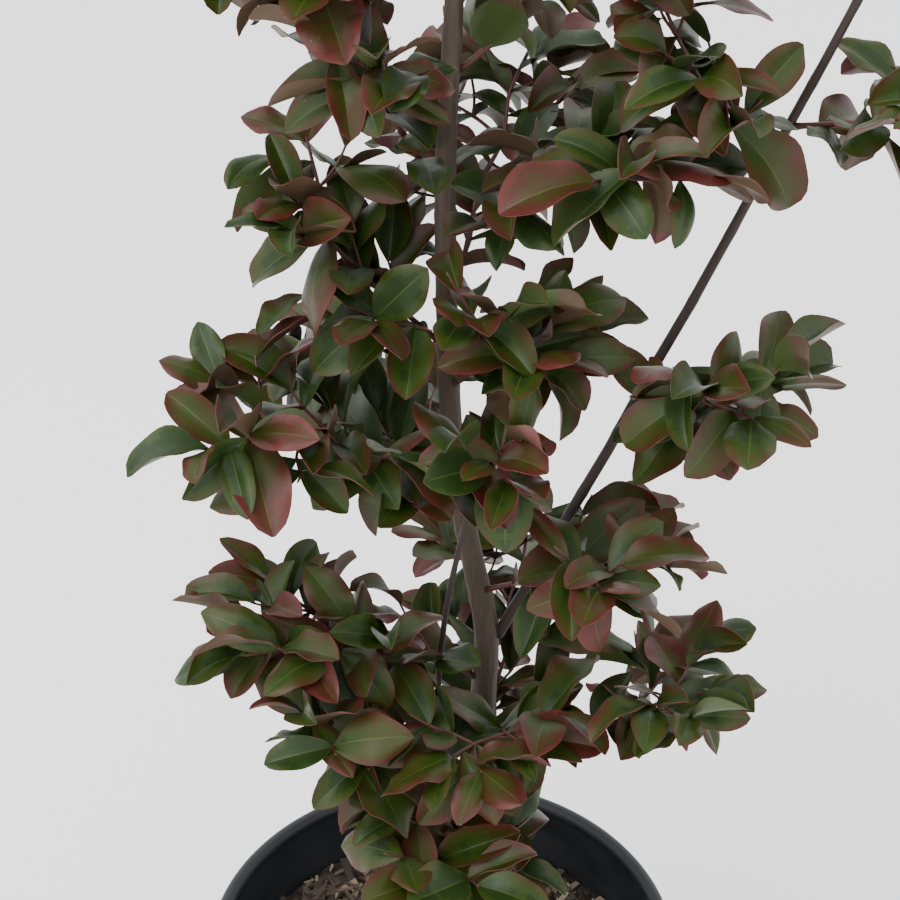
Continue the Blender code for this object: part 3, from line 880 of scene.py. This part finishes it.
def refine(path, radii, steps):
    """A smooth run of points and radii through a twig's nodes, which swell a little."""
    centres, sizes = smooth_run([Vector((*p, r)) for p, r in zip(path, radii)], steps)
    swollen = [size * NODE_SWELL if k % steps == 0 else size for k, size in enumerate(sizes[:-1])]
    return centres, swollen + [sizes[-1] * TWIG_END]


def join_tubes(name, runs, count):
    """One mesh of several tubes."""
    points = []
    faces = []
    for path, radii in runs:
        tube_points, tube_faces = tube(path, radii, count)
        faces += [tuple(p + len(points) for p in face) for face in tube_faces]
        points += tube_points
    return add_mesh(name, points, faces)


twig_runs = []
for name, stem in stems.items():
    twig_runs.append(refine(*stem, 6))
    twig_runs += [refine(*twig, 6) for _, _, twig in side_twigs[name]]
    twig_runs += [refine(*twig, 5) for twig in fine_twigs[name]]
twigs = join_tubes("twigs", twig_runs, TWIG_SIDES)

twig_red = Finish("twig_red_brown", (0.100, 0.028, 0.022), 0.55)
twig_grain = twig_red.noise(190, (1, 1, 0.3))
twig_red.feed("Base Color", twig_red.mix(twig_grain, (0.034, 0.009, 0.007), (0.095, 0.024, 0.017)))
twig_red.feed("Roughness", twig_grain * 0.25 + 0.42)
twig_red.bump(twig_grain, 0.3, 0.0006)
twigs.data.materials.append(twig_red.material)
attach(twigs, "root")
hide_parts(*stems)
print("twigs:", len(twig_runs))

# %% [markdown]
# ## Relief of the bark
# The trunk's bark is thin and grey brown with fine upright ridges, and it swells a little at old nodes. The
# ridges are real relief on a fine tube, so that the outline shows them too. They wander slowly along the limb,
# because straight ones would look turned on a lathe.

# %% Relief of the bark
RIDGES = ((7, 0.5), (11, 0.35), (17, 0.3), (23, 0.2))
RIDGE_PHASE = 6.28
WANDER = 1.4
WANDER_EVERY = 60
OLD_NODE_SWELL = 0.07
OLD_NODE_REACH = 0.003


def refine_limb(path, radii, steps):
    """Evenly refined points and radii of a limb."""
    centres = []
    sizes = []
    for i in range(len(path) - 1):
        for k in range(steps):
            centres.append(path[i].lerp(path[i + 1], k / steps))
            sizes.append(radii[i] + (radii[i + 1] - radii[i]) * k / steps)
    return centres + [path[-1]], sizes + [radii[-1]]


def ridge_height(turn, travelled, phases):
    """Height of the ridges at a turn round the limb, some way along it."""
    height = 0
    for (times, share), phase in zip(RIDGES, phases):
        wander = WANDER * math.sin(travelled * WANDER_EVERY + phase * 3)
        height += share * math.sin(times * turn + phase + wander)
    return height


def bark_tube(name, path, radii, count, steps, relief, node_every, finish, slot_name):
    """A limb with upright ridges and swollen nodes."""
    rng = random.Random(f"{SEED} {name} bark")
    phases = [rng.uniform(0, RIDGE_PHASE) for _ in RIDGES]
    centres, sizes = refine_limb(path, radii, steps)
    headings, sides = frames(centres)
    points = []
    travelled = 0
    for i, (centre, size, heading, side) in enumerate(zip(centres, sizes, headings, sides)):
        travelled += (centre - centres[max(i - 1, 0)]).length
        other = heading.cross(side)
        off_node = travelled % node_every - node_every / 2
        swell = 1 + OLD_NODE_SWELL * math.exp(-((off_node / OLD_NODE_REACH) ** 2))
        for k in range(count):
            turn = math.tau * k / count
            reach = size * swell + relief * ridge_height(turn, travelled, phases)
            points.append(centre + (side * math.cos(turn) + other * math.sin(turn)) * reach)
    piece = add_mesh(name, points, ring_faces(len(centres), count))
    piece.data.materials.append(finish.material)
    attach(piece, "root")
    return piece


trial_heights = [ridge_height(math.tau * k / 48, 0, [0] * len(RIDGES)) for k in range(48)]
print("ridges rise and fall by", round(max(trial_heights), 2), round(min(trial_heights), 2))

# %% [markdown]
# ## Bark of the limbs
# Streaks that are stretched upright colour and roughen the bark. The younger stems are darker and smoother.

# %% Bark of the limbs
TRUNK_LOOK = {"count": 48, "steps": 3, "relief": 0.00016, "node_every": 0.046, "slot_name": "trunk_bark"}
SLENDER_LOOK = {"count": 20, "steps": 3, "relief": 0.00005, "node_every": 0.036, "slot_name": "young_bark"}
BOUGH_LOOK = {"count": 20, "steps": 14, "relief": 0.00007, "node_every": 0.042, "slot_name": "young_bark"}
BARK_STEPS = 12

grey_bark = Finish("trunk_grey_brown", (0.06, 0.045, 0.032), 0.85)
streaks = grey_bark.noise(420, (1, 1, 0.10), 6)
blotches = grey_bark.noise(45, (1, 1, 0.5), 3)
bark_shade = streaks * 0.8 + blotches * 0.5 - 0.15
grey_bark.feed("Base Color", grey_bark.mix(bark_shade, (0.016, 0.010, 0.007), (0.105, 0.078, 0.055)))
grey_bark.feed("Roughness", streaks * 0.2 + 0.72)
grey_bark.bump(streaks, 0.6, 0.0012)

dark_bark = Finish("young_dark_brown", (0.04, 0.026, 0.022), 0.7)
dark_streaks = dark_bark.noise(380, (1, 1, 0.15), 5)
dark_bark.feed("Base Color", dark_bark.mix(dark_streaks, (0.008, 0.005, 0.004), (0.046, 0.028, 0.022)))
dark_bark.feed("Roughness", dark_streaks * 0.25 + 0.55)
dark_bark.bump(dark_streaks, 0.4, 0.0008)

trunk_bark = bark_tube("trunk_bark", *curve_through(TRUNK_BENDS, BARK_STEPS), finish=grey_bark, **TRUNK_LOOK)
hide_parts("trunk")
slender_curve = curve_through(SLENDER_BENDS, BARK_STEPS)
slender_bark = bark_tube("slender_bark", *slender_curve, finish=dark_bark, **SLENDER_LOOK)
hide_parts("slender_stem")
for limb_name, *_ in BOUGHS:
    limb = limbs[limb_name]
    limb_bark = bark_tube(limb_name + "_bark", limb["path"], limb["radii"], finish=dark_bark, **BOUGH_LOOK)
    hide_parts(limb_name)
print("trunk bark faces:", len(trunk_bark.data.polygons))

# %% [markdown]
# ## Pot
# A moulded pot is one wall turned round an axis: a flat foot, a tapering body, a stepped collar and a rolled
# rim. A fine turned profile keeps the rim's highlight smooth. The plastic is black, with a dull sheen.

# %% Pot
RIM_RADIUS = 0.140
FOOT_RADIUS = 0.104
RIM_BEAD = 0.0045
POT_WALL = 0.0022
POT_FLOOR = 0.003
COLLAR_HEIGHT = 0.026
COLLAR_STEP = 0.004
POT_SEGMENTS = 144


def turned(name, profile, segments):
    """A closed mesh of a profile of radius and height turned round Z."""
    points = []
    for radius, height in profile:
        for k in range(segments):
            turn = math.tau * k / segments
            points.append((radius * math.cos(turn), radius * math.sin(turn), height))
    return add_mesh(name, points, ring_faces(len(profile), segments))


collar = RIM_HEIGHT - COLLAR_HEIGHT
body_top = RIM_RADIUS - 2 * RIM_BEAD - COLLAR_STEP / 2
collar_out = RIM_RADIUS - 1.2 * RIM_BEAD
bead_turns = [math.radians(-50 + 260 * k / 20) for k in range(21)]
bead = [
    (RIM_RADIUS - RIM_BEAD + RIM_BEAD * math.cos(t), RIM_HEIGHT - RIM_BEAD + RIM_BEAD * math.sin(t))
    for t in bead_turns
]
outer = [
    (FOOT_RADIUS * 0.5, 0),
    (FOOT_RADIUS - 0.004, 0),
    (FOOT_RADIUS - 0.001, 0.0012),
    (FOOT_RADIUS, 0.004),
]
for k in range(1, 12):
    level = 0.004 + (collar - 0.006) * k / 12
    outer.append((FOOT_RADIUS + (body_top - FOOT_RADIUS) * level / collar, level))
outer += [
    (body_top, collar - 0.002),
    (collar_out - 0.001, collar + 0.001),
    (collar_out, RIM_HEIGHT - 2 * RIM_BEAD),
]
inner = [
    (collar_out - POT_WALL, RIM_HEIGHT - 2.2 * RIM_BEAD),
    (body_top - POT_WALL, collar - 0.008),
    (FOOT_RADIUS - POT_WALL + 0.001, 0.010),
    (FOOT_RADIUS - 0.008, POT_FLOOR),
    (FOOT_RADIUS * 0.5, POT_FLOOR),
]
pot_shell = turned("pot_shell", outer + bead + inner, POT_SEGMENTS)
pot_shell.data.set_sharp_from_angle(angle=math.radians(40))
black_plastic = Finish("pot_black_plastic", (0.016, 0.018, 0.022), 0.38)
scuffs = black_plastic.noise(38, (1, 1, 2.2), 7)
black_plastic.feed("Base Color", black_plastic.mix(scuffs, (0.005, 0.006, 0.007), (0.014, 0.016, 0.019)))
black_plastic.feed("Roughness", scuffs * 0.25 + 0.38)
black_plastic.bump(black_plastic.noise(900, (1, 1, 1), 2), 0.15, 0.0004)
black_plastic.shader.inputs["Specular IOR Level"].default_value = 0.30
pot_shell.data.materials.append(black_plastic.material)
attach(pot_shell, "root")
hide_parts("pot")
print("pot faces:", len(pot_shell.data.polygons))

# %% [markdown]
# ## Soil and bark chips
# Composted bark covers the soil: flat splinters of many sizes that lie at all angles. Each chip is a small
# tapered prism, dealt out by a seeded draw, and four browns keep the litter from looking even.

# %% Soil and bark chips
CHIPS = 1500
SOIL_TOP = RIM_HEIGHT - SOIL_DEPTH
SOIL_REACH = 0.1235
soil_rng = random.Random(f"{SEED} mulch")
soil_profile = [(0.101, POT_FLOOR + 0.0004), (0.1262, SOIL_TOP - 0.004)]
for k in range(12):
    soil_profile.append((0.1255 * (1 - k / 12) + 0.002, SOIL_TOP - 0.0015))
soil_bed = turned("soil_bed", soil_profile, 72)
for vertex in soil_bed.data.vertices:
    if vertex.co.z > SOIL_TOP - 0.003:
        vertex.co.z += soil_rng.uniform(-0.002, 0.002)

chip_points = []
chip_faces = []
chip_tints = []
for k in range(CHIPS):
    away = SOIL_REACH * math.sqrt(soil_rng.random())
    turn = soil_rng.uniform(0, math.tau)
    chip_length = soil_rng.choice((0.006, 0.009, 0.013, 0.020)) * soil_rng.uniform(0.7, 1.3)
    away = min(away, SOIL_REACH - chip_length / 2)
    chip_width = chip_length * soil_rng.uniform(0.16, 0.45)
    chip_depth = soil_rng.uniform(0.0008, 0.0022)
    along = heading_of(soil_rng.uniform(0, 360), soil_rng.uniform(-18, 24))
    across = along.cross(UP).normalized()
    over = across.cross(along)
    level = SOIL_TOP + soil_rng.uniform(0.0002, 0.0035)
    centre = Vector((away * math.cos(turn), away * math.sin(turn), level))
    first = len(chip_points)
    for lift in (-1, 1):
        for end, sway in ((-1, -1), (1, -0.6), (1, 0.5), (-1, 1)):
            stray = soil_rng.uniform(0.75, 1.1)
            spot = centre + along * end * chip_length / 2 * stray
            chip_points.append(spot + across * sway * chip_width / 2 * stray + over * lift * chip_depth / 2)
    quads = [(3, 2, 1, 0), (4, 5, 6, 7), (0, 1, 5, 4), (1, 2, 6, 5), (2, 3, 7, 6), (3, 0, 4, 7)]
    chip_faces += [tuple(first + p for p in quad) for quad in quads]
    chip_tints += [soil_rng.choice((0, 0, 1, 1, 2, 3))] * 6
chips = add_mesh("bark_chips", chip_points, chip_faces, smooth=False)
CHIP_TINTS = [
    ("chip_dark", (0.018, 0.011, 0.007)),
    ("chip_brown", (0.036, 0.024, 0.015)),
    ("chip_tan", (0.078, 0.056, 0.036)),
    ("chip_straw", (0.155, 0.120, 0.082)),
]
for chip_name, colour in CHIP_TINTS:
    chip_finish = Finish(chip_name, colour, 0.95)
    chip_grain = chip_finish.noise(500)
    chip_finish.feed("Roughness", chip_grain * 0.2 + 0.78)
    chip_finish.bump(chip_grain, 0.5, 0.0008)
    chips.data.materials.append(chip_finish.material)
chips.data.polygons.foreach_set("material_index", chip_tints)
soil_finish = Finish("soil_dark", (0.02, 0.014, 0.010), 0.95)
soil_grain = soil_finish.noise(260, (1, 1, 1), 6)
soil_finish.feed("Base Color", soil_finish.mix(soil_grain, (0.008, 0.006, 0.005), (0.055, 0.038, 0.026)))
soil_finish.feed("Roughness", soil_grain * 0.1 + 0.86)
soil_finish.bump(soil_grain, 0.8, 0.003)
soil_bed.data.materials.append(soil_finish.material)
for piece in (soil_bed, chips):
    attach(piece, "root")
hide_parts("soil")
print("chips:", CHIPS)
